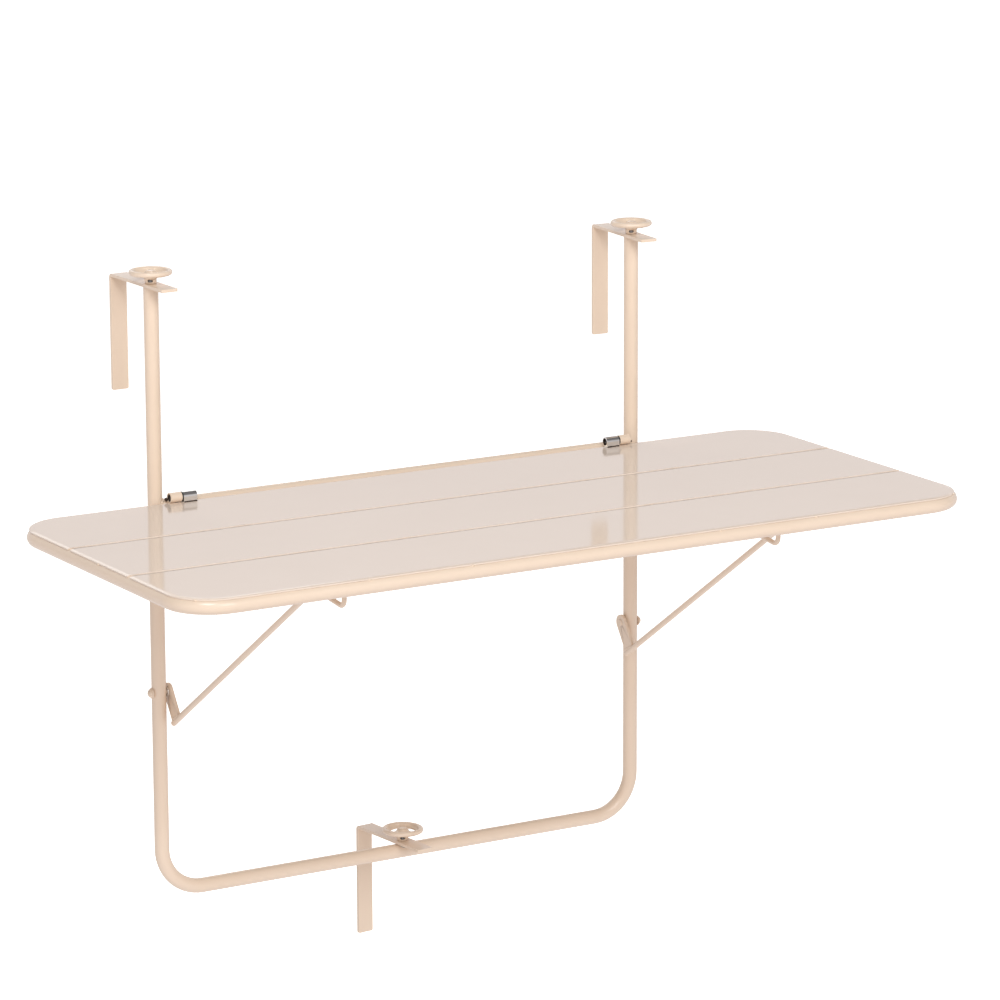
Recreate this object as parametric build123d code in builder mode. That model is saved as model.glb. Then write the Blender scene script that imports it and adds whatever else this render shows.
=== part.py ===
# Hanging balcony table: a bent tube frame that hooks over a railing, a fold-up table top on two
# barrel hinges, two swinging braces that prop it, and three strip hooks clamped by handwheels.
# Origin: the railing's top, at the rear face of the uprights, midway between them.
# X runs along the railing, Y from the user to the railing, Z up. Sizes are in millimetres.

from build123d import *
import math
import os

os.makedirs("parts", exist_ok=True)

# Tube, rod and plate stock
tube_d = 15.0
tube_wall = 1.2
cross_rod_d = 5.0
guide_wire_d = 5.0
brace_rod_d = 6.0
sheet_t = 1.2
lug_t = 3.0

# Hanging frame
frame_span = 560.0
bar_drop = 625.5
bend_radius = 45.0
table_drop = 219.0
cross_tube_drop = 5.0

# Table top
table_width = 888.0
table_depth = 384.0
rim_corner_radius = 43.0
rim_gap = 2.5
sheet_inset = 1.2
slat_gap = 5.5
inner_rod_spacing = 280.0
drain_hole_d = 4.0
drain_hole_spacing = 420.0

# Guide rails under the table top
guide_stop_setback = 63.0
guide_offset = 22.8
guide_front_drop = 42.0
guide_rear_drop = 8.7
guide_bend_radius = 7.0

# Barrel hinges
barrel_d = 10.0
hinge_pin_d = 7.6
frame_knuckle_length = 12.6
table_knuckle_length = 15.0
hinge_side_gap = 2.5
hinge_washer_t = 1.5
hinge_pin_recess = 5.0
hinge_pin_chamfer = 0.6
hinge_setback = 11.5
hinge_tongue_t = 5.0
hinge_foot_width = 5.0

# Braces and their pivots
pivot_drop = 196.5
pivot_bolt_d = 6.0
bolt_head_d = 9.0
bolt_head_h = 3.6
bolt_head_edge = 0.8
peened_end_d = 7.6
peened_end_h = 0.8
head_washer_d = 11.0
head_washer_t = 1.2
spacer_d = 11.0
spacer_t = 1.9
lug_width = 17.0
lug_reach = 32.0
rod_tail = 9.0
brace_end_drop = 16.7
brace_bend_radius = 8.0

# Strip hooks
strip_t = 3.0
strip_width = 18.0
strip_front = 41.0
strip_rear = 73.0
leg_length = 119.0
strip_inner_bend = 1.5
strip_corner_radius = 1.5
left_hook_turn = 1.0
right_hook_turn = -4.5
bottom_hook_turn = 5.6

# Threaded parts and handwheels
stud_d = 8.0
stud_depth = 13.0
stud_end_gap = 1.0
stud_rise = 0.6
stud_chamfer = 0.8
plug_length = 18.0
boss_d = 12.0
boss_rise = 0.8
boss_sink = 2.0
wheel_d = 43.5
wheel_grip_d = 5.4
wheel_height = 11.0
collar_d = 12.0
collar_height = 4.4
hub_flare_d = 21.0
hub_boss_d = 12.4
hub_boss_rise = 1.6
spoke_count = 3
spoke_width = 6.0
spoke_t = 3.2
wheel_turn = 59.6
lock_pin_d = 2.0
lock_pin_height = 2.7
lock_slot_width = 5.2
lock_slot_height = 2.4
lock_pin_recess = 0.8

# Clearances
weld_gap = 0.1
plug_clearance = 0.1
seat_gap = 0.1
fold_gap = 0.3
running_clearance = 0.06
hook_hole_clearance = 0.4
guide_clearance = 0.5

# Places that several pieces share
tube_r = tube_d / 2
upright_x = frame_span / 2
upright_y = -tube_r
frame_top_z = -seat_gap
bar_z = -bar_drop
table_z = -table_drop
cross_tube_z = table_z - cross_tube_drop
rim_z = table_z - sheet_t - tube_r
rim_rear_y = upright_y - tube_r - rim_gap - tube_r
rim_front_y = rim_rear_y - (table_depth - tube_d)
rim_mid_y = (rim_rear_y + rim_front_y) / 2
rim_side_x = table_width / 2 - tube_r
cross_rod_z = table_z - sheet_t - cross_rod_d / 2
guide_front_y = rim_front_y - tube_r + guide_stop_setback
hinge_y = upright_y - hinge_setback
hinge_z = table_z + barrel_d / 2 + fold_gap
frame_knuckle_x = upright_x - tube_r - hinge_side_gap
table_knuckle_x = frame_knuckle_x - frame_knuckle_length - hinge_washer_t
pivot_z = table_z - pivot_drop
lug_x = upright_x - tube_r - spacer_t - lug_t
brace_x = lug_x + lug_t / 2
guide_x = brace_x - guide_offset
outer_rod_x = guide_x + (guide_wire_d + cross_rod_d) / 2 + weld_gap
bottom_strip_z = bar_z + tube_r + boss_rise
stud_hole_d = stud_d + 2 * running_clearance

sides = {"left": -1, "right": 1}


def side_plane(x, y, z):
    # A plane facing +X, with its own x along Y and its own y along Z.
    return Plane(origin=(x, y, z), x_dir=(0, 1, 0), z_dir=(1, 0, 0))


def front_plane(x, y, z):
    # A plane facing -Y, with its own x along X and its own y along Z.
    return Plane(origin=(x, y, z), x_dir=(1, 0, 0), z_dir=(0, -1, 0))


def save(builder, name):
    builder.part.label = name
    export_step(builder.part, f"parts/{name}.step")


# The U of the frame is one tube, bent twice, with holes for the pivot bolts and the bottom boss.
with BuildPart() as frame_tube:
    with BuildLine(front_plane(0, upright_y, 0)) as frame_path:
        FilletPolyline(
            (-upright_x, frame_top_z),
            (-upright_x, bar_z),
            (upright_x, bar_z),
            (upright_x, frame_top_z),
            radius=bend_radius,
        )
    with BuildSketch(Plane(origin=frame_path.line @ 0, z_dir=frame_path.line % 0)):
        Circle(tube_r)
        Circle(tube_r - tube_wall, mode=Mode.SUBTRACT)
    sweep()
    with BuildSketch(side_plane(0, upright_y, pivot_z)):
        Circle(pivot_bolt_d / 2 + plug_clearance)
    extrude(amount=upright_x + tube_d, both=True, mode=Mode.SUBTRACT)
    with BuildSketch(Plane.XY.offset(bar_z - boss_sink - plug_clearance)):
        with Locations((0, upright_y)):
            Circle(boss_d / 2 + plug_clearance)
    extrude(amount=tube_d + boss_sink, mode=Mode.SUBTRACT)
save(frame_tube, "frame_tube")

# The cross tube stiffens the frame behind the table; its ends are coped to the uprights.
with BuildPart() as cross_tube:
    with BuildSketch(side_plane(0, upright_y, cross_tube_z)):
        Circle(tube_r)
        Circle(tube_r - tube_wall, mode=Mode.SUBTRACT)
    extrude(amount=upright_x, both=True)
    with BuildSketch(Plane.XY.offset(cross_tube_z)):
        with Locations((-upright_x, upright_y), (upright_x, upright_y)):
            Circle(tube_r + weld_gap)
    extrude(amount=tube_d, both=True, mode=Mode.SUBTRACT)
save(cross_tube, "cross_tube")

# A threaded plug closes the top of each upright, flush with the tube's end.
for side, sign in sides.items():
    with BuildPart() as plug:
        with BuildSketch(Plane.XY.offset(frame_top_z)):
            with Locations((sign * upright_x, upright_y)):
                Circle(tube_r - tube_wall - plug_clearance)
                Circle(stud_hole_d / 2, mode=Mode.SUBTRACT)
        extrude(amount=-plug_length)
    save(plug, f"threaded_plug_{side}")

# The bottom bar takes its stud in a boss that stands a little proud of the round tube.
with BuildPart() as bar_boss:
    with BuildSketch(Plane.XY.offset(bottom_strip_z - seat_gap)):
        with Locations((0, upright_y)):
            Circle(boss_d / 2)
            Circle(stud_hole_d / 2, mode=Mode.SUBTRACT)
    extrude(amount=-(tube_r + boss_rise + boss_sink))
save(bar_boss, "bar_boss")

# Each barrel hinge has a fixed knuckle, whose tongue is welded to the cross tube, and a turning
# knuckle welded on the rear slat. A washer lies between them, and the pin stops short of both open ends.
tongue_length = math.hypot(hinge_y - upright_y, hinge_z - cross_tube_z)
tongue_angle = math.degrees(math.atan2(cross_tube_z - hinge_z, upright_y - hinge_y))
barrel_length = frame_knuckle_length + hinge_washer_t + table_knuckle_length
for side, sign in sides.items():
    with BuildPart() as frame_knuckle:
        with BuildSketch(side_plane(sign * frame_knuckle_x, hinge_y, hinge_z)):
            Circle(barrel_d / 2)
            with Locations(Location((0, 0), tongue_angle)):
                Rectangle(tongue_length, hinge_tongue_t, align=(Align.MIN, Align.CENTER))
            Circle(hinge_pin_d / 2 + running_clearance, mode=Mode.SUBTRACT)
        extrude(amount=-sign * frame_knuckle_length)
        with BuildSketch(side_plane(0, upright_y, cross_tube_z)):
            Circle(tube_r + weld_gap)
        extrude(amount=upright_x, both=True, mode=Mode.SUBTRACT)
    save(frame_knuckle, f"frame_knuckle_{side}")

    with BuildPart() as table_knuckle:
        with BuildSketch(side_plane(sign * table_knuckle_x, hinge_y, hinge_z)):
            Circle(barrel_d / 2)
            Rectangle(hinge_foot_width, hinge_z - table_z, align=(Align.MAX, Align.MAX))
            Circle(hinge_pin_d / 2 + weld_gap, mode=Mode.SUBTRACT)
        extrude(amount=-sign * table_knuckle_length)
    save(table_knuckle, f"table_knuckle_{side}")

    with BuildPart() as hinge_washer:
        with BuildSketch(side_plane(sign * (table_knuckle_x + seat_gap), hinge_y, hinge_z)):
            Circle(barrel_d / 2)
            Circle(hinge_pin_d / 2 + weld_gap, mode=Mode.SUBTRACT)
        extrude(amount=sign * (hinge_washer_t - 2 * seat_gap))
    save(hinge_washer, f"hinge_washer_{side}")

    with BuildPart() as hinge_pin:
        with BuildSketch(side_plane(sign * (frame_knuckle_x - hinge_pin_recess), hinge_y, hinge_z)):
            Circle(hinge_pin_d / 2)
        extrude(amount=-sign * (barrel_length - 2 * hinge_pin_recess))
        chamfer(hinge_pin.edges().filter_by(GeomType.CIRCLE), hinge_pin_chamfer)
    save(hinge_pin, f"hinge_pin_{side}")

# The table's rim is one tube, bent at its four corners and closed by a weld, with drain holes below.
with BuildPart() as rim_tube:
    with BuildLine(Plane.XY.offset(rim_z)) as rim_path:
        FilletPolyline(
            (-rim_side_x, rim_rear_y),
            (rim_side_x, rim_rear_y),
            (rim_side_x, rim_front_y),
            (-rim_side_x, rim_front_y),
            radius=rim_corner_radius,
            close=True,
        )
    with BuildSketch(Plane(origin=rim_path.line @ 0, z_dir=rim_path.line % 0)):
        Circle(tube_r)
        Circle(tube_r - tube_wall, mode=Mode.SUBTRACT)
    sweep()
    with BuildSketch(Plane.XY.offset(rim_z)):
        with Locations((-drain_hole_spacing / 2, rim_rear_y), (drain_hole_spacing / 2, rim_rear_y)):
            Circle(drain_hole_d / 2)
    extrude(amount=-tube_d, mode=Mode.SUBTRACT)
save(rim_tube, "rim_tube")

# Three sheet slats lie on the rim, a little inside its edge, with narrow gaps between them.
sheet_width = table_width - 2 * sheet_inset
sheet_depth = table_depth - 2 * sheet_inset
sheet_corner_radius = rim_corner_radius + tube_r - sheet_inset
slat_names = ("front", "middle", "rear")
slat_depth = (sheet_depth - (len(slat_names) - 1) * slat_gap) / len(slat_names)
for row, name in enumerate(slat_names):
    slat_y = rim_mid_y - sheet_depth / 2 + slat_depth / 2 + row * (slat_depth + slat_gap)
    with BuildPart() as slat:
        with BuildSketch(Plane.XY.offset(table_z)):
            with Locations((0, rim_mid_y)):
                RectangleRounded(sheet_width, sheet_depth, sheet_corner_radius)
            with Locations((0, slat_y)):
                Rectangle(sheet_width, slat_depth, mode=Mode.INTERSECT)
        extrude(amount=-sheet_t)
    save(slat, f"slat_{name}")

# Four cross rods under the slats run from the front of the rim to its rear.
rod_places = {
    "outer_left": -outer_rod_x,
    "inner_left": -inner_rod_spacing / 2,
    "inner_right": inner_rod_spacing / 2,
    "outer_right": outer_rod_x,
}
for name, rod_x in rod_places.items():
    with BuildPart() as cross_rod:
        with BuildSketch(front_plane(rod_x, rim_rear_y, cross_rod_z)):
            Circle(cross_rod_d / 2)
        extrude(amount=rim_rear_y - rim_front_y)
        with BuildSketch(side_plane(rod_x, 0, rim_z)):
            with Locations((rim_rear_y, 0), (rim_front_y, 0)):
                Circle(tube_r + weld_gap)
        extrude(amount=tube_d, both=True, mode=Mode.SUBTRACT)
    save(cross_rod, f"cross_rod_{name}")

# A guide rail hangs beside each outer cross rod: it slopes down from the rear of the rim and turns up
# at the front, where its leg is welded to the rod and stops the brace.
guide_top_z = table_z - sheet_t - weld_gap
for side, sign in sides.items():
    with BuildPart() as guide_rail:
        with BuildLine(side_plane(sign * guide_x, 0, 0)) as guide_path:
            FilletPolyline(
                (rim_rear_y, table_z - guide_rear_drop),
                (guide_front_y, table_z - guide_front_drop),
                (guide_front_y, guide_top_z),
                radius=guide_bend_radius,
            )
        with BuildSketch(Plane(origin=guide_path.line @ 0, z_dir=guide_path.line % 0)):
            Circle(guide_wire_d / 2)
        sweep()
        with BuildSketch(side_plane(sign * guide_x, rim_rear_y, rim_z)):
            Circle(tube_r + weld_gap)
        extrude(amount=tube_d, both=True, mode=Mode.SUBTRACT)
    save(guide_rail, f"guide_rail_{side}")

# Each brace swings on a domed bolt through the upright, peened over on the inside. A lug plate hangs
# square to the rod it is welded on, and the rod rises to the guide rail, where its end turns inwards.
rod_end_y = guide_front_y + guide_wire_d / 2 + brace_rod_d / 2 + guide_clearance
rod_end_z = table_z - brace_end_drop
rod_end_x = guide_x + guide_wire_d / 2 + guide_clearance
brace_length = math.hypot(rod_end_y - upright_y, rod_end_z - pivot_z)
brace_slope = math.atan2(rod_end_z - pivot_z, upright_y - rod_end_y)
rod_slope = brace_slope + math.asin(lug_reach / brace_length)
rod_forward = -math.cos(rod_slope)
rod_up = math.sin(rod_slope)
lug_foot_y = upright_y - lug_reach * rod_up
lug_foot_z = pivot_z + lug_reach * rod_forward
rod_tail_y = lug_foot_y - rod_tail * rod_forward
rod_tail_z = lug_foot_z - rod_tail * rod_up
lug_angle = math.degrees(math.atan2(lug_foot_z - pivot_z, lug_foot_y - upright_y))
bolt_seat_x = upright_x + tube_r + head_washer_t
peen_x = lug_x - seat_gap
for side, sign in sides.items():
    with BuildPart() as pivot_bolt:
        bolt_plane = Plane(
            origin=(0, upright_y, pivot_z),
            x_dir=(sign, 0, 0),
            z_dir=(0, -sign, 0),
        )
        with BuildSketch(bolt_plane):
            with BuildLine():
                Polyline(
                    (bolt_seat_x + bolt_head_h, 0),
                    (peen_x - peened_end_h, 0),
                    (peen_x - peened_end_h, pivot_bolt_d / 2),
                    (peen_x, peened_end_d / 2),
                    (peen_x, pivot_bolt_d / 2),
                    (bolt_seat_x, pivot_bolt_d / 2),
                    (bolt_seat_x, bolt_head_d / 2),
                    (bolt_seat_x + bolt_head_edge, bolt_head_d / 2),
                )
                TangentArc(
                    (bolt_seat_x + bolt_head_h, 0),
                    (bolt_seat_x + bolt_head_edge, bolt_head_d / 2),
                    tangent=(0, 1),
                )
            make_face()
        revolve(axis=Axis((0, upright_y, pivot_z), (1, 0, 0)))
    save(pivot_bolt, f"pivot_bolt_{side}")

    with BuildPart() as head_washer:
        with BuildSketch(side_plane(sign * (upright_x + tube_r), upright_y, pivot_z)):
            Circle(head_washer_d / 2)
            Circle(pivot_bolt_d / 2 + plug_clearance, mode=Mode.SUBTRACT)
        extrude(amount=sign * head_washer_t)
    save(head_washer, f"pivot_washer_{side}")

    with BuildPart() as spacer:
        with BuildSketch(side_plane(sign * (upright_x - tube_r), upright_y, pivot_z)):
            Circle(spacer_d / 2)
            Circle(pivot_bolt_d / 2 + plug_clearance, mode=Mode.SUBTRACT)
        extrude(amount=-sign * (spacer_t - seat_gap))
    save(spacer, f"pivot_spacer_{side}")

    with BuildPart() as brace_lug:
        with BuildSketch(side_plane(sign * lug_x, upright_y, pivot_z)):
            with Locations(Location((0, 0), lug_angle)):
                Rectangle(lug_reach, lug_width, align=(Align.MIN, Align.CENTER))
            Circle(lug_width / 2)
            Circle(pivot_bolt_d / 2 + running_clearance, mode=Mode.SUBTRACT)
        extrude(amount=sign * lug_t)
        rod_plane = Plane(
            origin=(sign * brace_x, lug_foot_y, lug_foot_z),
            z_dir=(0, rod_forward, rod_up),
        )
        with BuildSketch(rod_plane):
            Circle(brace_rod_d / 2 + weld_gap)
        extrude(amount=lug_width, both=True, mode=Mode.SUBTRACT)
    save(brace_lug, f"brace_lug_{side}")

    with BuildPart() as brace_rod:
        with BuildLine() as brace_path:
            FilletPolyline(
                (sign * brace_x, rod_tail_y, rod_tail_z),
                (sign * brace_x, rod_end_y, rod_end_z),
                (sign * rod_end_x, rod_end_y, rod_end_z),
                radius=brace_bend_radius,
            )
        with BuildSketch(Plane(origin=brace_path.line @ 0, z_dir=brace_path.line % 0)):
            Circle(brace_rod_d / 2)
        sweep()
    save(brace_rod, f"brace_rod_{side}")

# Three strip hooks reach over the railing: two on the uprights and one on the bottom bar. Each is a
# flat bar bent down at the rear, which swings on its stud while the handwheel is loose.
# As they stand, each is turned a little to one side.
stud_places = {
    "left": (-upright_x, 0),
    "right": (upright_x, 0),
    "bottom": (0, bottom_strip_z),
}
hook_turns = {"left": left_hook_turn, "right": right_hook_turn, "bottom": bottom_hook_turn}
for name, (stud_x, strip_z) in stud_places.items():
    strip_plane = side_plane(stud_x, upright_y, strip_z).rotated((0, 0, hook_turns[name]))
    across = Axis(strip_plane.origin, strip_plane.z_dir)
    back = Axis(strip_plane.origin, strip_plane.x_dir)
    with BuildPart() as hook:
        with BuildSketch(strip_plane):
            with BuildLine():
                Polyline(
                    (-strip_front, 0),
                    (strip_rear - strip_t, 0),
                    (strip_rear - strip_t, strip_t - leg_length),
                    (strip_rear, strip_t - leg_length),
                    (strip_rear, strip_t),
                    (-strip_front, strip_t),
                    close=True,
                )
            make_face()
        extrude(amount=strip_width / 2, both=True)
        bend_edges = hook.edges().filter_by(across)
        bend_outside = bend_edges.group_by(back)[-1].sort_by(Axis.Z)[-1]
        bend_inside = bend_edges.group_by(back)[-2].sort_by(Axis.Z)[-1]
        fillet(bend_outside, strip_inner_bend + strip_t)
        fillet(bend_inside, strip_inner_bend)
        with BuildSketch(Plane.XY.offset(strip_z)):
            with Locations((stud_x, upright_y)):
                Circle(stud_d / 2 + hook_hole_clearance)
        extrude(amount=strip_t, mode=Mode.SUBTRACT)
        fillet(hook.edges().filter_by(Axis.Z).group_by(back)[0], strip_corner_radius)
        fillet(hook.edges().filter_by(back).group_by(Axis.Z)[0], strip_corner_radius)
    save(hook, f"hook_{name}")

# A handwheel clamps each hook. Its conical hub stands on a collar, and a cross pin in the collar locks
# the wheel to a stud that screws down through the strip into the plug or the boss.
grip_radius = (wheel_d - wheel_grip_d) / 2
web_low = wheel_height - spoke_t / 2
web_high = wheel_height + spoke_t / 2
hub_top = web_high + hub_boss_rise
hub_bore = stud_d / 2 + weld_gap
stud_ends = {
    "left": -stud_depth,
    "right": -stud_depth,
    "bottom": bar_z - tube_r + tube_wall + stud_end_gap,
}
for name, (stud_x, strip_z) in stud_places.items():
    foot_z = strip_z + strip_t + seat_gap
    wheel_z = foot_z + wheel_height
    lock_plane = Plane(
        origin=(stud_x, upright_y, foot_z + lock_pin_height),
        z_dir=(math.cos(math.radians(wheel_turn)), math.sin(math.radians(wheel_turn)), 0),
    )
    with BuildPart() as handwheel:
        with BuildSketch(front_plane(stud_x, upright_y, foot_z)):
            with BuildLine():
                Polyline(
                    (hub_flare_d / 2, web_low),
                    (hub_flare_d / 2, web_high),
                    (hub_boss_d / 2, web_high),
                    (hub_boss_d / 2, hub_top),
                    (hub_bore, hub_top),
                    (hub_bore, 0),
                    (collar_d / 2, 0),
                    (collar_d / 2, collar_height),
                    close=True,
                )
            make_face()
            with Locations((grip_radius, wheel_height)):
                Circle(wheel_grip_d / 2)
        revolve(axis=Axis((stud_x, upright_y, foot_z), (0, 0, 1)))
        with BuildSketch(Plane(origin=(stud_x, upright_y, wheel_z))):
            with PolarLocations(hub_boss_d / 2, spoke_count, start_angle=wheel_turn):
                Rectangle(
                    grip_radius - hub_boss_d / 2,
                    spoke_width,
                    align=(Align.MIN, Align.CENTER),
                )
        extrude(amount=spoke_t / 2, both=True)
        with BuildSketch(lock_plane):
            SlotOverall(lock_slot_width, lock_slot_height)
        extrude(amount=collar_d, both=True, mode=Mode.SUBTRACT)
    save(handwheel, f"handwheel_{name}")

    with BuildPart() as stud:
        with BuildSketch(Plane(origin=(stud_x, upright_y, stud_ends[name]))):
            Circle(stud_d / 2)
        extrude(amount=foot_z + hub_top + stud_rise - stud_ends[name])
        chamfer(stud.edges().filter_by(GeomType.CIRCLE), stud_chamfer)
        with BuildSketch(lock_plane):
            Circle(lock_pin_d / 2 + weld_gap)
        extrude(amount=collar_d, both=True, mode=Mode.SUBTRACT)
    save(stud, f"stud_{name}")

    with BuildPart() as lock_pin:
        with BuildSketch(lock_plane):
            Circle(lock_pin_d / 2)
        extrude(amount=collar_d / 2 - lock_pin_recess, both=True)
    save(lock_pin, f"lock_pin_{name}")
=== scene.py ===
# The looks of a hanging balcony table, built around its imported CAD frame. Units are metres.
# Origin: the railing's top, at the rear face of the uprights, midway between them; Z is up.

import math
import random

import bmesh
import bpy
from mathutils import Matrix, Vector


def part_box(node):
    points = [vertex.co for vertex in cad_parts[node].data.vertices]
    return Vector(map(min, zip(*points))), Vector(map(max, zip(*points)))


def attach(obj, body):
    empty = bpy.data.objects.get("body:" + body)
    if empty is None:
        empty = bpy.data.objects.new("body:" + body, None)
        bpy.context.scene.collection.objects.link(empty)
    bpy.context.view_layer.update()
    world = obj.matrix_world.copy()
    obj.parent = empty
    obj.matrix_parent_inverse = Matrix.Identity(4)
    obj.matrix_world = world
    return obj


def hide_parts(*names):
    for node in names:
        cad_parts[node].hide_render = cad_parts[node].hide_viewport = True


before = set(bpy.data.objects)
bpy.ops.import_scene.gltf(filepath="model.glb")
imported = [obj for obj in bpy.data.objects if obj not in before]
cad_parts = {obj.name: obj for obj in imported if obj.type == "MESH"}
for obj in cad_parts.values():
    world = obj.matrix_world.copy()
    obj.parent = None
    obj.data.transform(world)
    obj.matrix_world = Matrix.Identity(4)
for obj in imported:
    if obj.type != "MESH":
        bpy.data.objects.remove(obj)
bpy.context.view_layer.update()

# Hanging frame
# A 15 mm steel tube bent into a U, with a cross tube coped and welded between its legs and a threaded
# plug pressed into each top end. It is welded up bare and powder coated afterwards, beads and all.
tube_cream = ("E4CFB8", "EAD7C2")
tube_roughness = 0.24
tube_peel = 0.004
peel_height = 0.000012
colour_drift = 0.09
roughness_drift = 0.03
coat_ior = 1.5


def linear(colour):
    """An sRGB hex colour as the linear RGBA that a shader takes."""
    parts = [int(colour[i : i + 2], 16) / 255 for i in (0, 2, 4)]
    return [c / 12.92 if c <= 0.04045 else ((c + 0.055) / 1.055) ** 2.4 for c in parts] + [1.0]


def add_node(material, kind, sockets={}, links={}, **settings):
    """Adds one shader node, sets its properties and sockets, and links other nodes' outputs into it."""
    node = material.node_tree.nodes.new("ShaderNode" + kind)
    for name, value in settings.items():
        setattr(node, name, value)
    for name, value in sockets.items():
        node.inputs[name].default_value = value
    for name, output in links.items():
        material.node_tree.links.new(output, node.inputs[name])
    return node


def shader_of(material, sockets, links):
    """Sets and links the material's own Principled shader."""
    shader = material.node_tree.nodes["Principled BSDF"]
    for name, value in sockets.items():
        shader.inputs[name].default_value = value
    for name, output in links.items():
        material.node_tree.links.new(output, shader.inputs[name])


def new_material(name):
    """A new material, and the place on its piece that its patterns go by."""
    material = bpy.data.materials.new(name)
    material.use_nodes = True
    return material, add_node(material, "TexCoord").outputs["Object"]


def noise(material, place, size, detail):
    """A cloudy pattern with spots of about one size."""
    sockets = {"Scale": 1 / size, "Detail": detail}
    return add_node(material, "TexNoise", sockets, {"Vector": place}).outputs[0]


def blend(material, colours, pattern):
    """Two colours mixed by a pattern. A Mix node has them in its sockets 6 and 7, and gives output 2."""
    ends = {6: linear(colours[0]), 7: linear(colours[1])}
    return add_node(material, "Mix", ends, {0: pattern}, data_type="RGBA").outputs[2]


def vary(material, value, spread, pattern):
    """A value that a pattern carries up and down by spread."""
    ends = {"To Min": value - spread, "To Max": value + spread}
    return add_node(material, "MapRange", ends, {"Value": pattern}).outputs[0]


def powder_coat(name, cream, roughness, peel):
    """Polyester powder baked on steel: a glossy cream skin that flows out into a faint orange peel.
    The real peel is about 2 mm across; it is drawn coarser so that it shows."""
    coat, place = new_material(name)
    drift = noise(coat, place, colour_drift, detail=3.0)
    skin = noise(coat, place, peel, detail=1.0)
    relief = add_node(coat, "Bump", {"Distance": peel_height}, {"Height": skin})
    shader_of(
        coat,
        {"IOR": coat_ior},
        {
            "Base Color": blend(coat, cream, drift),
            "Roughness": vary(coat, roughness, roughness_drift, drift),
            "Normal": relief.outputs[0],
        },
    )
    return coat


def dress(names, material):
    """Gives CAD nodes their finish."""
    for name in names:
        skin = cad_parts[name].data.materials
        skin.clear()
        skin.append(material)


coated_steel = powder_coat("powder_coated_steel", tube_cream, tube_roughness, tube_peel)
dress(["frame_tube", "cross_tube", "threaded_plug_left", "threaded_plug_right"], coated_steel)

# Welds of the cross tube
# Each end of the cross tube carries a bead all the way round its cope, laid by hand: a row of
# overlapping puddles that the powder coat has rounded over.
sides = {"left": -1, "right": 1}
hand_seed = 7
bead_sides = 10
bead_tip = 0.02
look_ahead = 0.2
puddle_steps = 8
puddle_swell = 0.18
puddle_spread = 0.1
cope_bead = 0.0013
cope_puddles = 30
hand = random.Random(hand_seed)


def circle(corners):
    """The cosine and sine of each corner of a regular ring."""
    turns = [2 * math.pi * k / corners for k in range(corners)]
    return [(math.cos(turn), math.sin(turn)) for turn in turns]


def join_rings(mesh, rings, closed=False):
    """Skins over a row of rings of points, and from the last one to the first if the row is closed."""
    following = rings[1:] + rings[:1] if closed else rings[1:]
    for near, far in zip(rings, following):
        for k in range(len(near)):
            j = (k + 1) % len(near)
            mesh.faces.new((near[k], near[j], far[j], far[k]))


def lay_bead(mesh, path, puddles, thickness):
    """Adds a weld bead along path, a function of 0 to 1, to mesh. It is a ring if the path is closed."""
    steps = puddles * puddle_steps
    ahead = look_ahead / steps
    closed = (path(0) - path(1)).length < ahead * thickness
    sizes = [thickness * hand.uniform(1 - puddle_spread, 1 + puddle_spread) for _ in range(puddles)]
    across = None
    rings = []
    for i in range(steps if closed else steps + 1):
        share = i / steps
        way = (path(share + ahead) - path(share - ahead)).normalized()
        across = (across - way * across.dot(way)).normalized() if across else way.orthogonal().normalized()
        other = way.cross(across)
        along = share * puddles
        size = sizes[min(int(along), puddles - 1)]
        size *= 1 - puddle_swell + puddle_swell * abs(math.sin(math.pi * along))
        if not closed:
            size *= math.sqrt(max(bead_tip, min(1.0, along, puddles - along)))
        ring = []
        for c, s in circle(bead_sides):
            ring.append(mesh.verts.new(path(share) + size * (c * across + s * other)))
        rings.append(ring)
    join_rings(mesh, rings, closed)
    if not closed:
        mesh.faces.new(rings[0][::-1])
        mesh.faces.new(rings[-1])


def place_piece(name, mesh, material, body):
    """Makes a smooth-shaded piece of mesh, which rides on a CAD body and takes the given material."""
    bmesh.ops.recalc_face_normals(mesh, faces=mesh.faces)
    data = bpy.data.meshes.new(name)
    mesh.to_mesh(data)
    mesh.free()
    data.shade_smooth()
    data.materials.append(material)
    piece = bpy.data.objects.new(name, data)
    bpy.context.scene.collection.objects.link(piece)
    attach(piece, body)
    return piece


def middle(node):
    """The middle of a CAD node's box."""
    low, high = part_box(node)
    return (low + high) / 2


cross_low, cross_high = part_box("cross_tube")
tube_r = (cross_high.z - cross_low.z) / 2
cross_mid = middle("cross_tube")
upright_x = middle("threaded_plug_right").x

cope_welds = bmesh.new()
for sign in sides.values():

    def cope(share):
        """Goes once round the line where the cross tube meets the upright."""
        turn = 2 * math.pi * share
        inward = sign * (upright_x - tube_r * abs(math.sin(turn)))
        height = cross_mid.z + tube_r * math.sin(turn)
        return Vector((inward, cross_mid.y + tube_r * math.cos(turn), height))

    lay_bead(cope_welds, cope, cope_puddles, cope_bead)
place_piece("cope_welds", cope_welds, coated_steel, "frame")

# Bottom boss
# A turned steel boss let into the bottom bar, where the lower stud screws in. It is welded in after
# coating and stays bare, so a ring of plain grey steel shows under the strip.
boss_bead = 0.0006
boss_bead_sink = 0.0003
boss_puddles = 20
steel_greys = ("77777A", "A9A9A8")
steel_roughness = 0.34
steel_grain = 0.0012
steel_stretch = (1, 1, 0.2)
streak_spread = 0.2


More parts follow.
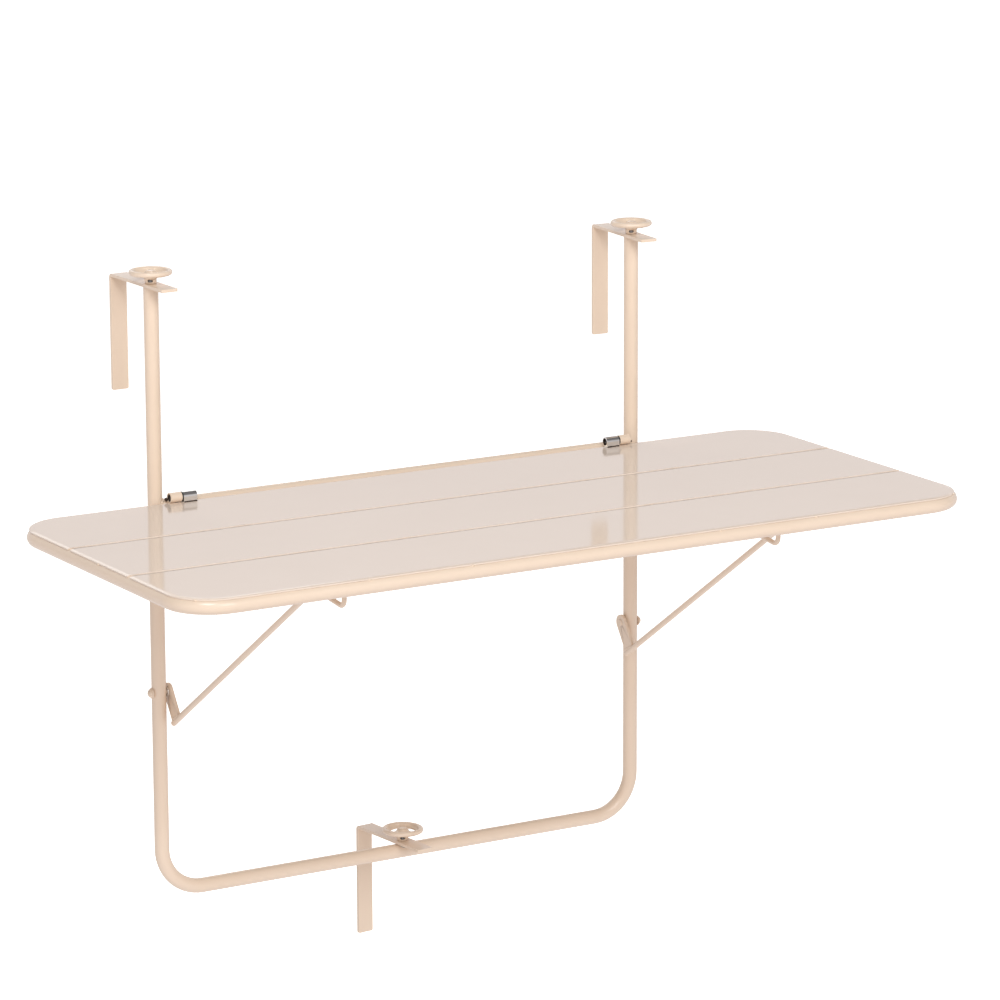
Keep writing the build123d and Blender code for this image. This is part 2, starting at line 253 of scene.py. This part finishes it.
def bare_metal(name, greys, roughness, grain, stretch):
    """Metal with a fine turned or drawn grain: streaks across the piece vary its colour and its gloss."""
    metal, place = new_material(name)
    drawn = add_node(metal, "Mapping", {"Scale": stretch}, {"Vector": place})
    streak = noise(metal, drawn.outputs[0], grain, detail=2.0)
    shader_of(
        metal,
        {"Metallic": 1.0},
        {
            "Base Color": blend(metal, greys, streak),
            "Roughness": vary(metal, roughness, roughness * streak_spread, streak),
        },
    )
    return metal


plain_steel = bare_metal("turned_mild_steel", steel_greys, steel_roughness, steel_grain, steel_stretch)
dress(["bar_boss"], plain_steel)
boss_low, boss_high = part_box("bar_boss")
boss_r = (boss_high.x - boss_low.x) / 2
boss_mid = middle("bar_boss")
bar_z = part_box("frame_tube")[0].z + tube_r


def boss_seam(share):
    """Goes once round the boss where it comes out of the bar."""
    turn = 2 * math.pi * share
    side = boss_r * math.sin(turn)
    height = math.sqrt(tube_r**2 - side**2) - boss_bead_sink
    return Vector((boss_mid.x + boss_r * math.cos(turn), boss_mid.y + side, bar_z + height))


boss_weld = bmesh.new()
lay_bead(boss_weld, boss_seam, boss_puddles, boss_bead)
place_piece("boss_weld", boss_weld, plain_steel, "frame")

# Barrel hinges
# A fixed knuckle welded to the cross tube and coated with it, a bright zinc-plated knuckle welded on the
# table, a black washer between them and a pin that stops short of their open ends. The washers' black also
# stands in for the shade of the gap between the knuckles, and the open ends are lined with painted shade.
# The last welds, under the zinc and beside the uprights, were left as they were, with their dark scale;
# that dark also paints the shade of the gaps under the zinc barrel and beside the uprights.
zinc_greys = ("E2E1DE", "F0EFEC")
zinc_roughness = 0.06
zinc_grain = 0.0009
zinc_stretch = (0.15, 1, 1)
# The washers' black also stands in for the shade of the gap between the knuckles.
washer_and_gap_shade_blacks = ("131312", "1D1C1B")
washer_roughness = 0.5
washer_grain = 0.0006
washer_pits = 0.00002
# The weld scale's dark brown also paints the shade of the gaps under the zinc barrel and beside the
# uprights.
scale_and_shade_browns = ("1C1511", "4A3428")
scale_and_shade_roughness = 0.7
scale_and_shade_grain = 0.0011
scale_and_shade_pits = 0.0002
# The bore linings' dark brown is painted shade inside the knuckles' open ends.
bore_shade_browns = ("1E1713", "3F332B")
bore_shade_roughness = 0.3
bore_shade_grain = 0.0015
bore_shade_pits = 0.00002
tongue_half = 0.0025
tongue_bead = 0.0012
tongue_puddles = 9
foot_bead = 0.0009
foot_puddles = 12
bore_sides = 32
bore_lip = 0.0004
lump_puddles = 4
# The lumps beside the uprights are dark partly with scale and partly as painted shade of the gap there.
# Each lump is given by its thickness and its two ends, outward, back and up from the barrel's outer end.
scale_and_shade_lumps = {
    "left": (0.0019, (0.0022, 0.0050, -0.0010), (0.0002, 0.0030, -0.0034)),
    "right": (0.0012, (0.0023, -0.0015, -0.0020), (0.0010, -0.0032, -0.0022)),
}


def dull_skin(name, colours, roughness, grain, pits):
    """A dark skin that drinks the light: black washers with a fine bloom, whose black also stands in for
    the shade of the gap between the knuckles; the pitted scale of a weld, which also paints the shade of
    the gaps by the welds; and painted shade inside an open bore."""
    skin, place = new_material(name)
    cloud = noise(skin, place, grain, detail=3.0)
    relief = add_node(skin, "Bump", {"Distance": pits}, {"Height": cloud})
    shader_of(
        skin,
        {"Roughness": roughness, "IOR": coat_ior},
        {"Base Color": blend(skin, colours, cloud), "Normal": relief.outputs[0]},
    )
    return skin


def line_bore_with_shade(mesh, axis, mouth_x, pin_x, radius):
    """Lines the open end of a knuckle's bore with painted shade, from just inside its mouth to the pin's
    end.
    """
    inward = math.copysign(bore_lip, pin_x - mouth_x)
    rings = []
    for ring_x in (mouth_x + inward, pin_x - inward):
        ring = []
        for c, s in circle(bore_sides):
            ring.append(mesh.verts.new((ring_x, axis.y + radius * c, axis.z + radius * s)))
        rings.append(ring)
    join_rings(mesh, rings)
    mesh.faces.new(rings[-1])


def lay_straight(mesh, start, run, puddles, thickness):
    """Adds a straight weld bead from start along run to mesh."""
    lay_bead(mesh, lambda share: start + run * share, puddles, thickness)


zinc_plate = bare_metal("zinc_plated_steel", zinc_greys, zinc_roughness, zinc_grain, zinc_stretch)
# Black washers whose colour is partly painted shade of the gap between the knuckles.
black_nylon = dull_skin("black_nylon", washer_and_gap_shade_blacks, washer_roughness, washer_grain, washer_pits)
# Weld scale whose dark brown is partly painted shade of the gaps by the welds.
weld_scale_and_shade = dull_skin("weld_scale_and_shade", scale_and_shade_browns, scale_and_shade_roughness, scale_and_shade_grain, scale_and_shade_pits)
# Painted shade for the inside of the knuckles' open bores.
painted_bore_shade = dull_skin("painted_bore_shade", bore_shade_browns, bore_shade_roughness, bore_shade_grain, bore_shade_pits)

tongue_welds = bmesh.new()
foot_welds = bmesh.new()
scaled_and_shaded_welds = bmesh.new()
frame_bore_shade = bmesh.new()
table_bore_shade = bmesh.new()
for side, sign in sides.items():
    dress([f"frame_knuckle_{side}"], coated_steel)
    dress([f"hinge_washer_{side}"], black_nylon)
    dress([f"table_knuckle_{side}", f"hinge_pin_{side}"], zinc_plate)
    barrel = middle(f"hinge_pin_{side}")
    pin_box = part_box(f"hinge_pin_{side}")
    pin_r = (pin_box[1].z - pin_box[0].z) / 2
    # A box is its low and its high corner; these say which of them lies outward and which inward.
    outer = (sign + 1) // 2
    inner = 1 - outer
    outer_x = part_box(f"frame_knuckle_{side}")[outer].x
    inner_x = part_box(f"table_knuckle_{side}")[inner].x
    line_bore_with_shade(frame_bore_shade, barrel, outer_x, pin_box[outer].x, pin_r)
    line_bore_with_shade(table_bore_shade, barrel, inner_x, pin_box[inner].x, pin_r)
    knuckle_low, knuckle_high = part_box(f"frame_knuckle_{side}")
    down = Vector((0, cross_mid.y - barrel.y, cross_mid.z - barrel.z)).normalized()
    edge = Vector((0, -down.z, down.y))
    reach = math.sqrt(tube_r**2 - tongue_half**2)
    for face in (-1, 1):
        foot = Vector((0, cross_mid.y, cross_mid.z)) - down * reach + edge * face * tongue_half
        start = Vector((knuckle_low.x, foot.y, foot.z))
        run = Vector((knuckle_high.x - knuckle_low.x, 0, 0))
        lay_straight(tongue_welds, start, run, tongue_puddles, tongue_bead)
    # The beads under the zinc take the dark weld skin, which also paints the shade under the barrel.
    foot_low, foot_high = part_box(f"table_knuckle_{side}")
    start = Vector((foot_low.x, foot_low.y, foot_low.z + foot_bead / 2))
    run = Vector((foot_high.x - foot_low.x, 0, 0))
    lay_straight(foot_welds, start, run, foot_puddles, foot_bead)
    lump, near, far = scale_and_shade_lumps[side]
    start = Vector((outer_x + sign * near[0], barrel.y + near[1], barrel.z + near[2]))
    run = Vector((outer_x + sign * far[0], barrel.y + far[1], barrel.z + far[2])) - start
    lay_straight(scaled_and_shaded_welds, start, run, lump_puddles, lump)
place_piece("scaled_and_shaded_welds", scaled_and_shaded_welds, weld_scale_and_shade, "frame")
place_piece("frame_bore_shade", frame_bore_shade, painted_bore_shade, "frame")
place_piece("table_bore_shade", table_bore_shade, painted_bore_shade, "table")
place_piece("tongue_welds", tongue_welds, coated_steel, "frame")
place_piece("foot_welds", foot_welds, weld_scale_and_shade, "table")

# Table rim
# One tube bent round four corners, its ends butted and welded in the middle of the rear run and dressed
# back, then coated. Two small drain holes open underneath.
seam_bead = 0.0007
seam_puddles = 28
dress(["rim_tube"], coated_steel)
rim_low, rim_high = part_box("rim_tube")
rim_z = (rim_low.z + rim_high.z) / 2
rim_rear_y = rim_high.y - tube_r
rim_front_y = rim_low.y + tube_r


def rim_seam(share):
    """Goes once round the rim where its ends meet."""
    turn = 2 * math.pi * share
    return Vector((0, rim_rear_y + tube_r * math.cos(turn), rim_z + tube_r * math.sin(turn)))


rim_weld = bmesh.new()
lay_bead(rim_weld, rim_seam, seam_puddles, seam_bead)
place_piece("rim_weld", rim_weld, coated_steel, "table")

# Slats
# Three slats of 1.2 mm sheet laid on the rim with narrow gaps. Their outer edges are rolled down a little
# over the rim, which shows as a round lip. The coat on flat sheet flows out smoother than on the tubes, so
# the table top mirrors what stands on it.
sheet_cream = ("E5D4C3", "E9D9C9")
sheet_roughness = 0.09
sheet_peel = 0.03
sheet_edge = 0.0004
sheet_merge = 0.000001
cad_merge = 0.00001
edge_segments = 3
edge_angle = math.radians(40)
roll_width = 0.0042
roll_gap = 0.0032
roll_steps = 4
rim_bend = 0.043
corner_steps = 24


def join_faces(solid):
    """Joins the faces of a CAD mesh along their edges."""
    solid.modifiers.new("joined_faces", "WELD").merge_threshold = cad_merge


def soften_edges(solids, width):
    """Rounds the cut edges of solids a little, as the coat does, and keeps their flats flat."""
    for solid in solids:
        join_faces(solid)
        rounding = solid.modifiers.new("rounded_edges", "BEVEL")
        rounding.width = width
        rounding.segments = edge_segments
        rounding.limit_method = "ANGLE"
        rounding.angle_limit = edge_angle
        solid.modifiers.new("flat_faces", "WEIGHTED_NORMAL").mode = "FACE_AREA"


sheet_x = rim_high.x - tube_r + roll_width
sheet_front_y = rim_front_y - roll_width
bend_x = rim_high.x - tube_r - rim_bend
corner_r = sheet_x - bend_x


def roll_drop(inset):
    """How far the sheet has come down over the rim, by the distance from its edge."""
    reach = tube_r + roll_gap
    return reach - math.sqrt(reach**2 - (roll_width - inset) ** 2)


def slat_end(y, way, rounded, rolled):
    """The right half of a slat's front or back end: its points, and the way in from the edge at each."""
    if not rounded:
        return [(Vector((sheet_x, y, 0)), Vector((-1, 0, 0)))]
    points = []
    for i in range(corner_steps + 1):
        turn = math.pi / 2 * i / corner_steps
        spot = Vector((bend_x + corner_r * math.sin(turn), y + way * corner_r * (1 - math.cos(turn)), 0))
        points.append((spot, Vector((-math.sin(turn), way * rolled * math.cos(turn), 0))))
    return points


def cut_slat(front_y, back_y, low_z, high_z, round_front, round_back):
    """A slat of sheet, rolled down at its ends and at a round front, and flat at its back."""
    front = slat_end(front_y, way=1, rounded=round_front, rolled=1)
    back = slat_end(back_y, way=-1, rounded=round_back, rolled=0)
    half = front + back[::-1]
    flip = Vector((-1, 1, 1))
    outline = half + [(spot * flip, inward * flip) for spot, inward in half[::-1]]
    mesh = bmesh.new()
    upper = []
    lower = []
    for step in range(roll_steps + 1):
        inset = roll_width * step / roll_steps
        loop = [(spot + inward * inset, inward.length * roll_drop(inset)) for spot, inward in outline]
        upper.append([mesh.verts.new((spot.x, spot.y, high_z - drop)) for spot, drop in loop])
        lower.append([mesh.verts.new((spot.x, spot.y, low_z - drop)) for spot, drop in loop])
    mesh.faces.new(upper[-1])
    mesh.faces.new(lower[-1])
    for rings in ([lower[0], upper[0]], upper, lower):
        join_rings(mesh, rings)
    bmesh.ops.remove_doubles(mesh, verts=mesh.verts, dist=sheet_merge)
    return mesh


coated_sheet = powder_coat("powder_coated_sheet", sheet_cream, sheet_roughness, sheet_peel)
dress(["slat_front", "slat_middle", "slat_rear"], coated_sheet)
for name in ("front", "middle", "rear"):
    slat_low, slat_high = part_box(f"slat_{name}")
    front_y = sheet_front_y if name == "front" else slat_low.y
    cut = cut_slat(front_y, slat_high.y, slat_low.z, slat_high.z, name == "front", name == "rear")
    sheet = place_piece(f"sheet_{name}", cut, coated_sheet, "table")
    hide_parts(f"slat_{name}")
    soften_edges([sheet], sheet_edge)

# Tack welds of the slats
# Short tacks hold the slats to the rim from outside: one in the middle of each end, one at each corner
# and one at both ends of each cross rod. The coat covers them, and each breaks the dark line under the
# sheet's edge.
tack_bead = 0.0011
tack_length = 0.004
tack_puddles = 3
diagonal = math.sqrt(0.5)
rear_low, rear_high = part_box("slat_rear")
rod_names = ["outer_left", "inner_left", "inner_right", "outer_right"]
table_mid_y = (rim_front_y + rim_rear_y) / 2
bend_y = (rim_rear_y - rim_front_y) / 2 - rim_bend
tack_z = rear_low.z - roll_drop(0)
# Each tack is given by its place and by the way it runs, as seen from above.
tacks = [(sign * sheet_x, table_mid_y, 0, 1) for sign in sides.values()]
for across in (-1, 1):
    for forward in (-1, 1):
        corner_x = across * (bend_x + corner_r * diagonal)
        corner_y = table_mid_y + forward * (bend_y + corner_r * diagonal)
        tacks.append((corner_x, corner_y, across * diagonal, -forward * diagonal))
for name in rod_names:
    rod_x = middle(f"cross_rod_{name}").x
    tacks.append((rod_x, sheet_front_y, 1, 0))
    tacks.append((rod_x, rear_high.y, 1, 0))

slat_tacks = bmesh.new()
for tack_x, tack_y, way_x, way_y in tacks:
    spot = Vector((tack_x, tack_y, tack_z))
    run = Vector((way_x, way_y, 0)) * tack_length
    lay_bead(slat_tacks, lambda share: spot + run * (share - 0.5), tack_puddles, tack_bead)
place_piece("slat_tacks", slat_tacks, coated_steel, "table")

# Cross rods and guide rails
# Drawn 5 mm wire, cut to length and welded to the inside of the rim. Each guide rail slopes down from the
# rear of the rim, turns up at the front and is welded to the outer cross rod there.
rod_bead = 0.0009
rod_puddles = 6
rail_puddles = 10
stop_puddles = 5
stop_bead_length = 0.007
dress([f"cross_rod_{name}" for name in rod_names], coated_steel)
dress([f"guide_rail_{side}" for side in sides], coated_steel)
rod_low, rod_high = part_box("cross_rod_inner_left")
rod_r = (rod_high.x - rod_low.x) / 2
rod_z = (rod_low.z + rod_high.z) / 2

rod_welds = bmesh.new()
for name in rod_names:
    rod_x = middle(f"cross_rod_{name}").x
    for rim_y, inward in ((rim_rear_y, -1), (rim_front_y, 1)):

        def rod_seam(share):
            """Goes round the underside of a cross rod's end, along the rim."""
            turn = math.pi * (1 + share)
            height = rod_z + rod_r * math.sin(turn)
            inside = inward * math.sqrt(tube_r**2 - (height - rim_z) ** 2)
            return Vector((rod_x + rod_r * math.cos(turn), rim_y + inside, height))

        lay_bead(rod_welds, rod_seam, rod_puddles, rod_bead)
for side in sides:
    rail_low, rail_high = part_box(f"guide_rail_{side}")
    rail_x = (rail_low.x + rail_high.x) / 2
    touch_x = (rail_x + middle(f"cross_rod_outer_{side}").x) / 2
    stop_y = rail_low.y + rod_r
    start = Vector((touch_x, stop_y - stop_bead_length / 2, rod_z - rod_r))
    lay_straight(rod_welds, start, Vector((0, stop_bead_length, 0)), stop_puddles, rod_bead)

    def rail_seam(share):
        """Goes once round a guide rail's rear end, along the rim."""
        turn = 2 * math.pi * share
        height = rod_r * math.sin(turn)
        inside = math.sqrt(tube_r**2 - height**2)
        return Vector((rail_x + rod_r * math.cos(turn), rim_rear_y - inside, rail_high.z - rod_r + height))

    lay_bead(rod_welds, rail_seam, rail_puddles, rod_bead)
place_piece("rod_welds", rod_welds, coated_steel, "table")

# Braces
# A 6 mm rod with its end turned in, and a pressed lug of 3 mm plate welded square on its tail. Each
# swings on a domed bolt through the upright, which is peened over inside the lug.
lug_reach = 0.032
lug_width = 0.017
lug_bead = 0.0012
lug_puddles = 10
lug_edge = 0.0005
for side in sides:
    dress([f"brace_lug_{side}", f"brace_rod_{side}"], coated_steel)
    dress([f"pivot_bolt_{side}", f"pivot_washer_{side}"], coated_steel)
    dress([f"pivot_spacer_{side}"], zinc_plate)
    plates = [f"brace_lug_{side}", f"pivot_washer_{side}", f"pivot_spacer_{side}"]
    soften_edges([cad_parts[name] for name in plates], lug_edge)
    lug_low, lug_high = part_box(f"brace_lug_{side}")
    brace_low, brace_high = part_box(f"brace_rod_{side}")
    pivot = middle(f"pivot_bolt_{side}")
    lug_x = (lug_low.x + lug_high.x) / 2
    lug_half = (lug_high.x - lug_low.x) / 2
    brace_r = min(brace_high.x - lug_x, lug_x - brace_low.x)
    rod_end = Vector((lug_x, brace_low.y + brace_r, brace_high.z - brace_r))
    arm = rod_end - Vector((lug_x, pivot.y, pivot.z))
    slope = math.atan2(arm.z, -arm.y) + math.asin(lug_reach / arm.length)
    rod_way = Vector((0, -math.cos(slope), math.sin(slope)))
    lug_way = Vector((0, -math.sin(slope), -math.cos(slope)))
    seam = math.sqrt(brace_r**2 - lug_half**2)
    lug_welds = bmesh.new()
    for face in (-1, 1):
        foot = Vector((lug_x + face * lug_half, pivot.y, pivot.z)) + lug_way * (lug_reach - seam)
        start = foot - rod_way * lug_width / 2
        lay_straight(lug_welds, start, rod_way * lug_width, lug_puddles, lug_bead)
    place_piece(f"lug_welds_{side}", lug_welds, coated_steel, f"brace_{side}")

# Strip hooks
# Flat bar, 18 by 3 mm, drilled for its stud and bent down behind the railing, with rounded tips. The
# coat rounds over every edge.
strip_edge = 0.0005
clamp_names = ("left", "right", "bottom")
hooks = [f"hook_{name}" for name in clamp_names]
dress(hooks, coated_steel)
soften_edges([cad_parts[name] for name in hooks], strip_edge)

# Handwheels
# Small die-cast wheels on a collar. Inside the round grip a flange slopes down like a bowl to three tapered
# spokes and a low slim hub. All is cast in one, with soft fillets, and coated with the rest.
cast_grain = 0.0004
cast_softness = 0.5
cast_passes = 6
wheel_height = 0.011
dish_depth = 0.0026
hub_drop = 0.0022
collar_height = 0.0044
web_height = 0.0094
hub_r = 0.0060
hub_core_r = 0.0050
hub_flare_r = 0.0106
hub_neck_r = 0.0070
dish_inner_r = 0.0088
dish_outer_r = 0.0140
rim_inner_r = 0.0172
# The flange's section: each corner's distance from the axis, and its height over the grip's middle.
flange_outline = [(0.0180, 0.0014), (0.0140, -0.0018), (0.0140, -0.0034), (0.0180, -0.0018)]
flange_sides = 72


def ease(value, low, high):
    """Runs smoothly from 0 at low to 1 at high."""
    share = min(1.0, max(0.0, (value - low) / (high - low)))
    return share * share * (3 - 2 * share)


def slim_hub(reach):
    """Where a point between the hub's core and the rim comes to lie, by its distance from the axis, when
    the hub's flare is drawn in and the spokes are drawn out after it."""
    if reach < hub_flare_r:
        return hub_core_r + (reach - hub_core_r) * (hub_neck_r - hub_core_r) / (hub_flare_r - hub_core_r)
    return hub_neck_r + (reach - hub_flare_r) * (rim_inner_r - hub_neck_r) / (rim_inner_r - hub_flare_r)


def cast_in_one(solid):
    """Joins all that a solid is made of under one skin, with soft fillets."""
    casting = solid.modifiers.new("cast_skin", "REMESH")
    casting.mode = "VOXEL"
    casting.voxel_size = cast_grain
    casting.use_smooth_shade = True
    softening = solid.modifiers.new("cast_fillets", "SMOOTH")
    softening.factor = cast_softness
    softening.iterations = cast_passes


def bowl_wheel(node):
    """A CAD wheel's skin with its hub slimmed, hub and spokes let down inside the rim, and the flange."""
    join_faces(node)
    cast_in_one(node)
    skin = bmesh.new()
    skin.from_object(node, bpy.context.evaluated_depsgraph_get())
    skin.transform(node.matrix_world)
    node.modifiers.clear()
    axis = middle(node.name)
    foot_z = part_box(node.name)[0].z
    for vert in skin.verts:
        above_collar = ease(vert.co.z - foot_z, collar_height, web_height)
        outward = (vert.co - axis) * Vector((1, 1, 0))
        reach = outward.length
        if hub_core_r < reach < rim_inner_r:
            vert.co += outward * (slim_hub(reach) / reach - 1) * above_collar
            reach = slim_hub(reach)
        drop = hub_drop + (dish_depth - hub_drop) * ease(reach, hub_r, dish_inner_r)
        vert.co.z -= above_collar * drop * (1 - ease(reach, dish_outer_r, rim_inner_r))
    rings = []
    for c, s in circle(flange_sides):
        ring = []
        for reach, rise in flange_outline:
            spot = (axis.x + reach * c, axis.y + reach * s, foot_z + wheel_height + rise)
            ring.append(skin.verts.new(spot))
        rings.append(ring)
    join_rings(skin, rings, closed=True)
    return skin


for name in clamp_names:
    node = f"handwheel_{name}"
    dress([node], coated_steel)
    skin = bowl_wheel(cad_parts[node])
    wheel = place_piece(f"cast_wheel_{name}", skin, coated_steel, f"clamp_{name}")
    cast_in_one(wheel)
    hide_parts(node)

# Studs and lock pins
# An M8 stud of plain steel turns with each handwheel, held by a cross pin that shows in the collar's slot.
# Its thread is rolled, with a pitch of 1.25 mm, and the wheel's coat domes over its upper end.
thread_pitch = 0.00125
thread_depth = 0.00067
thread_sides = 40
thread_steps = 8
thread_lead = 0.0012
flank_rise = 1.2
flank_foot = 0.1
dome_overlap = 0.0004
dome_rise = 0.0005
dome_sides = 32
dome_rows = 16


def threaded_stud(low, high):
    """A stud between two corners of its box, threaded from end to end, with its ends turned down."""
    mesh = bmesh.new()
    axis = (low + high) / 2
    radius = (high.x - low.x) / 2
    rows = round((high.z - low.z) / thread_pitch * thread_steps)
    rings = []
    for i in range(rows + 1):
        height = low.z + (high.z - low.z) * i / rows
        end = min(height - low.z, high.z - height)
        turned_down = radius - thread_depth * (1 - min(1.0, end / thread_lead))
        ring = []
        for k, (c, s) in enumerate(circle(thread_sides)):
            climb = ((height - low.z) / thread_pitch - k / thread_sides) % 1
            crest = min(1.0, max(0.0, flank_rise * abs(2 * climb - 1) - flank_foot))
            size = min(radius - thread_depth * (1 - crest), turned_down)
            ring.append(mesh.verts.new((axis.x + size * c, axis.y + size * s, height)))
        rings.append(ring)
    join_rings(mesh, rings)
    mesh.faces.new(rings[0][::-1])
    mesh.faces.new(rings[-1])
    return mesh


for name in clamp_names:
    dress([f"stud_{name}", f"lock_pin_{name}"], plain_steel)
    stud_low, stud_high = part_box(f"stud_{name}")
    stud_high.z -= hub_drop
    thread = threaded_stud(stud_low, stud_high)
    stud = place_piece(f"threaded_stud_{name}", thread, plain_steel, f"clamp_{name}")
    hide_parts(f"stud_{name}")
    top_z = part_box(f"handwheel_{name}")[1].z - hub_drop
    dome_place = ((stud_low.x + stud_high.x) / 2, (stud_low.y + stud_high.y) / 2, top_z)
    dome_r = (stud_high.x - stud_low.x) / 2 + dome_overlap
    dome_size = (dome_r, dome_r, stud_high.z + dome_rise - top_z, 1)
    stud_end = bmesh.new()
    bmesh.ops.create_uvsphere(
        stud_end,
        u_segments=dome_sides,
        v_segments=dome_rows,
        radius=1.0,
        matrix=Matrix.Translation(dome_place) @ Matrix.Diagonal(dome_size),
    )
    place_piece(f"stud_end_{name}", stud_end, coated_steel, f"clamp_{name}")

# Studio
# A pale floor well below the hanging table, lit from within like a white acrylic sheet. White backdrops
# stand before and behind the table, with dim walls beside it. Two soft boxes hang in front and one behind.
floor_drop = 1.0
floor_half = 40.0
floor_white = "F4F3F1"
floor_roughness = 0.6
floor_glow = 0.9
wall_white = "FFFAFC"
ground_light = 0.97
wall_light = 0.3
backdrop_light = 1.0
ceiling_light = 0.19
backdrop_way = (0.51, 0.86, 0.0)
backdrop_edge = (0.3, 0.7)
wall_foot = (-0.12, 0.02)
wall_top = (0.4, 0.65)

floor_mesh = bmesh.new()
bmesh.ops.create_grid(floor_mesh, x_segments=1, y_segments=1, size=floor_half)
floor_data = bpy.data.meshes.new("floor")
floor_mesh.to_mesh(floor_data)
floor_mesh.free()
floor = bpy.data.objects.new("floor", floor_data)
floor.location.z = -floor_drop
floor.visible_diffuse = False
floor.visible_glossy = False
bpy.context.scene.collection.objects.link(floor)
acrylic = bpy.data.materials.new("white_acrylic")
acrylic.use_nodes = True
shader_of(
    acrylic,
    {
        "Base Color": linear(floor_white),
        "Roughness": floor_roughness,
        "Emission Color": linear(floor_white),
        "Emission Strength": floor_glow,
    },
    {},
)
floor_data.materials.append(acrylic)

studio = bpy.data.worlds.new("studio")
studio.use_nodes = True
bpy.context.scene.world = studio
sky = studio.node_tree.nodes["Background"]
sky.inputs["Color"].default_value = linear(wall_white)
sky_way = add_node(studio, "TexCoord")
sky_height = add_node(studio, "SeparateXYZ", {}, {"Vector": sky_way.outputs["Generated"]})
sky_facing = add_node(
    studio, "VectorMath", {1: backdrop_way}, {0: sky_way.outputs["Generated"]}, operation="DOT_PRODUCT"
)
sky_front = add_node(studio, "Math", {}, {0: sky_facing.outputs["Value"]}, operation="ABSOLUTE")
wall_level = add_node(
    studio,
    "MapRange",
    {
        "From Min": backdrop_edge[0],
        "From Max": backdrop_edge[1],
        "To Min": wall_light,
        "To Max": backdrop_light,
    },
    {"Value": sky_front.outputs[0]},
)
low_level = add_node(
    studio,
    "MapRange",
    {"From Min": wall_foot[0], "From Max": wall_foot[1], "To Min": ground_light},
    {"Value": sky_height.outputs["Z"], "To Max": wall_level.outputs[0]},
)
sky_level = add_node(
    studio,
    "MapRange",
    {"From Min": wall_top[0], "From Max": wall_top[1], "To Max": ceiling_light},
    {"Value": sky_height.outputs["Z"], "To Min": low_level.outputs[0]},
)
studio.node_tree.links.new(sky_level.outputs[0], sky.inputs["Strength"])


def soft_box(name, place, size, power):
    """A square soft light that faces the table."""
    lamp = bpy.data.lights.new(name, "AREA")
    lamp.shape = "SQUARE"
    lamp.size = size
    lamp.energy = power
    box = bpy.data.objects.new(name, lamp)
    box.location = place
    box.rotation_euler = (middle("slat_middle") - Vector(place)).to_track_quat("-Z", "Y").to_euler()
    bpy.context.scene.collection.objects.link(box)


soft_box("key_light", place=(-2.0, -2.6, 3.0), size=1.6, power=82)
soft_box("fill_light", place=(0.2, -3.8, 1.9), size=2.0, power=52)
soft_box("back_light", place=(0.6, 3.0, 2.2), size=2.4, power=20)

# Camera
# It stands as the photograph's did, fitted to the edges of the table top: to the left and a little above,
# with a long lens.
camera_place = (-2.343464, -4.194826, 0.838944)
camera_turn = 0.53172
camera_tilt = 0.22328
camera_roll = -0.00378
camera_lens = 172.114
lens = bpy.data.cameras.new("camera")
lens.sensor_width = 36.0
lens.lens = camera_lens
lens.clip_end = 200.0
camera = bpy.data.objects.new("camera", lens)
camera.matrix_world = (
    Matrix.Translation(camera_place)
    @ Matrix.Rotation(-camera_turn, 4, "Z")
    @ Matrix.Rotation(math.pi / 2 - camera_tilt, 4, "X")
    @ Matrix.Rotation(camera_roll, 4, "Z")
)
bpy.context.scene.collection.objects.link(camera)
bpy.context.scene.camera = camera
bpy.context.scene.view_settings.view_transform = "Standard"
